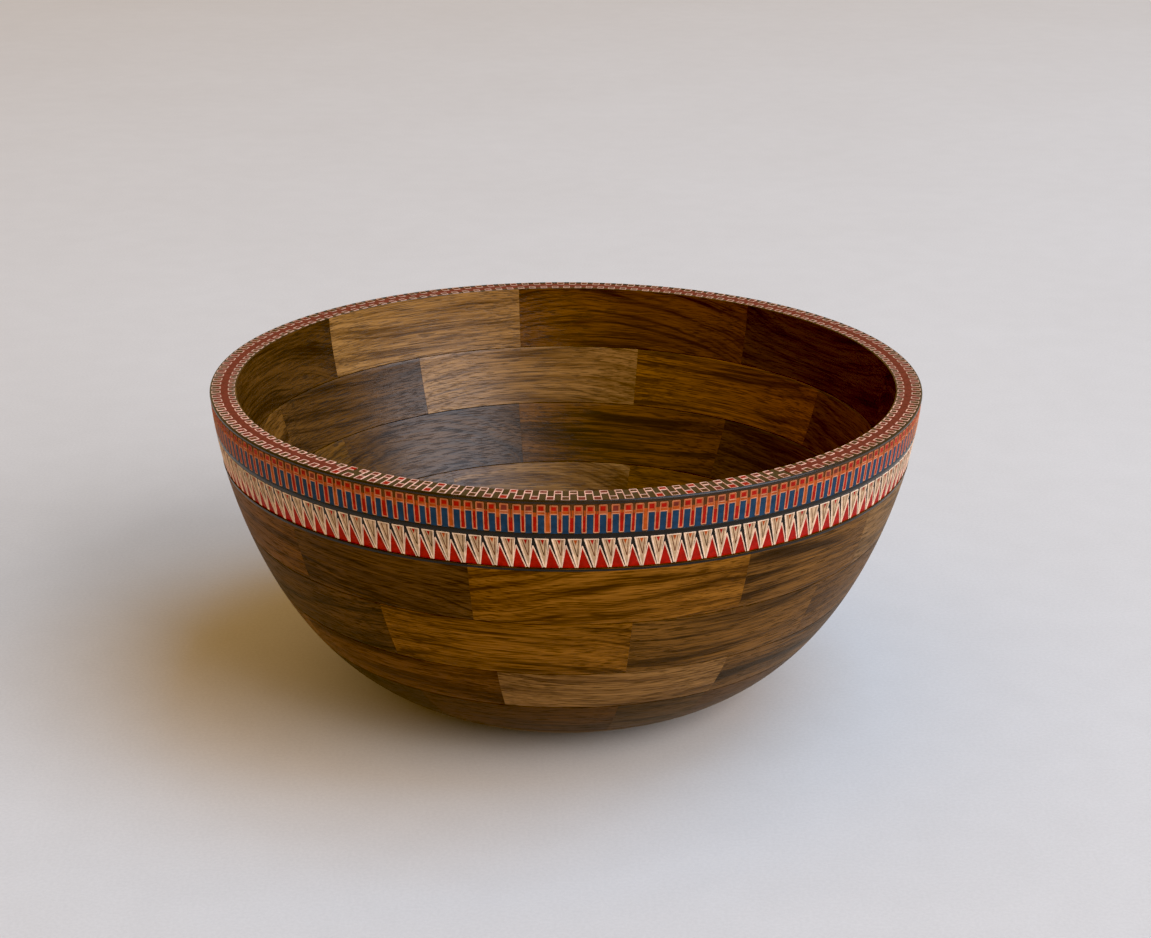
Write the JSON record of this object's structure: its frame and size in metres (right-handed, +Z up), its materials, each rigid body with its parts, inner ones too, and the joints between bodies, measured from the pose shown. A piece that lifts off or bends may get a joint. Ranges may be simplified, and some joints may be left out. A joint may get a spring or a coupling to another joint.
{
  "type": "segmented wooden bowl",
  "caption": "Round deep serving bowl glued from brick-laid hardwood blocks, with a flat rim and a carved and painted geometric band around the outside.",
  "frame": {"origin": "centre of the flat base, on the surface that the bowl stands on", "axes": "+Z up along the bowl's turning axis, -Y towards the front, +X to the right seen from the front"},
  "size_m": [0.2999, 0.2999, 0.136],
  "materials": {
    "wood_tan": "oiled satin, light tan heartwood with brown streaks",
    "wood_golden": "oiled satin, golden brown with darker growth lines",
    "wood_russet": "oiled satin, reddish brown",
    "wood_brown": "oiled satin, mid brown with dark streaks",
    "wood_dark": "oiled satin, dark chocolate brown",
    "rim_paint": "carved lines filled with red, orange, blue, cream and black-brown paint, satin varnish"
  },
  "bodies": {
    "root": {"rim_block_1": "wood_tan", "rim_block_2": "wood_dark", "rim_block_3": "wood_brown", "rim_block_4": "wood_golden", "rim_block_5": "wood_brown", "rim_block_6": "wood_dark", "rim_block_7": "wood_dark", "rim_block_8": "wood_russet", "upper_wall_block_1": "wood_dark", "upper_wall_block_2": "wood_brown", "upper_wall_block_3": "wood_russet", "upper_wall_block_4": "wood_dark", "upper_wall_block_5": "wood_golden", "upper_wall_block_6": "wood_brown", "upper_wall_block_7": "wood_tan", "upper_wall_block_8": "wood_brown", "upper_wall_block_9": "wood_golden", "upper_wall_block_10": "wood_tan", "middle_wall_block_1": "wood_dark", "middle_wall_block_2": "wood_brown", "middle_wall_block_3": "wood_dark", "middle_wall_block_4": "wood_golden", "middle_wall_block_5": "wood_brown", "middle_wall_block_6": "wood_brown", "middle_wall_block_7": "wood_dark", "middle_wall_block_8": "wood_russet", "lower_wall_block_1": "wood_brown", "lower_wall_block_2": "wood_golden", "lower_wall_block_3": "wood_russet", "lower_wall_block_4": "wood_tan", "lower_wall_block_5": "wood_brown", "lower_wall_block_6": "wood_russet", "lower_wall_block_7": "wood_golden", "lower_wall_block_8": "wood_tan", "foot_block_1": "wood_russet", "foot_block_2": "wood_golden", "foot_block_3": "wood_dark", "foot_block_4": "wood_russet", "foot_block_5": "wood_brown", "foot_block_6": "wood_russet", "foot_block_7": "wood_tan", "foot_block_8": "wood_brown", "foot_block_9": "wood_golden", "base_plank_1": "wood_brown", "base_plank_2": "wood_golden", "base_plank_3": "wood_russet", "base_plank_4": "wood_tan", "base_plank_5": "wood_brown"}
  },
  "joints": []
}
